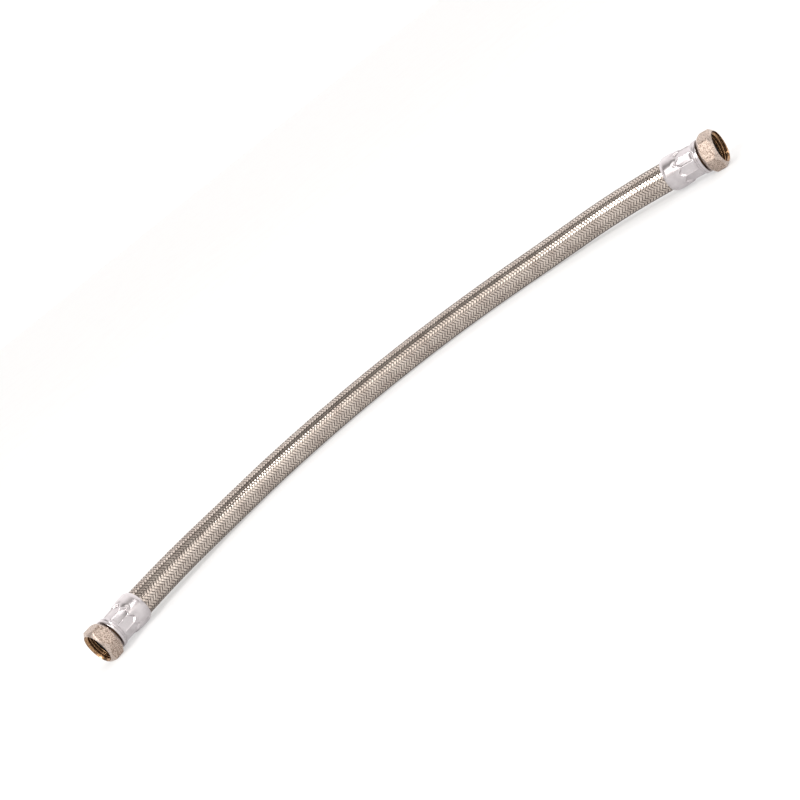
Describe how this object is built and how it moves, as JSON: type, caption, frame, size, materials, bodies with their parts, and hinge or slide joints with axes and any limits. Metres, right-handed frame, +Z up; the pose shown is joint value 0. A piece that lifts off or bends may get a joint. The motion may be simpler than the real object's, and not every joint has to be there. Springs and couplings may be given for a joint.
{
  "type": "braided supply line",
  "caption": "Flexible supply hose in a woven steel braid, lying in a shallow bow, with a crimped ferrule and a hexagonal swivel nut on each end.",
  "frame": {"origin": "on the table that the line lies on, midway between its two end fittings", "axes": "+X along the line through the two nuts, towards the right-hand one; -Y the side that the bow opens to; +Z up from the table"},
  "size_m": [0.5122, 0.1189, 0.0255],
  "materials": {
    "inner_tube_rubber": "matt black extruded rubber",
    "braid_steel": "bright drawn stainless wire, woven",
    "stem_brass": "turned brass",
    "ferrule_aluminium": "bright drawn aluminium with crimp marks",
    "gasket_rubber": "matt black moulded rubber",
    "nut_nickel": "nickel-plated forged brass, sand-blasted flats"
  },
  "bodies": {
    "hose": {"inner_tube": "inner_tube_rubber", "steel_braid": "braid_steel", "stem_left": "stem_brass", "stem_right": "stem_brass", "ferrule_left": "ferrule_aluminium", "ferrule_right": "ferrule_aluminium"},
    "left_gasket": {"gasket_left": "gasket_rubber"},
    "right_gasket": {"gasket_right": "gasket_rubber"},
    "left_nut": {"nut_left": "nut_nickel"},
    "right_nut": {"nut_right": "nut_nickel"}
  },
  "joints": [
    {"name": "left_nut_swivel", "type": "hinge", "parent": "hose", "child": "left_gasket", "pos_m": [-0.24979, -0.01093, 0.012], "axis": [0.8127, 0.5827, 0], "continuous": true},
    {"name": "left_nut_slide", "type": "slide", "parent": "left_gasket", "child": "left_nut", "axis": [0.8127, 0.5827, 0], "range_m": [0, 0.0009]},
    {"name": "right_nut_swivel", "type": "hinge", "parent": "hose", "child": "right_gasket", "pos_m": [0.24922, -0.01186, 0.01273], "axis": [-0.7849, 0.6196, 0], "continuous": true},
    {"name": "right_nut_slide", "type": "slide", "parent": "right_gasket", "child": "right_nut", "axis": [-0.7849, 0.6196, 0], "range_m": [0, 0.0009]}
  ]
}
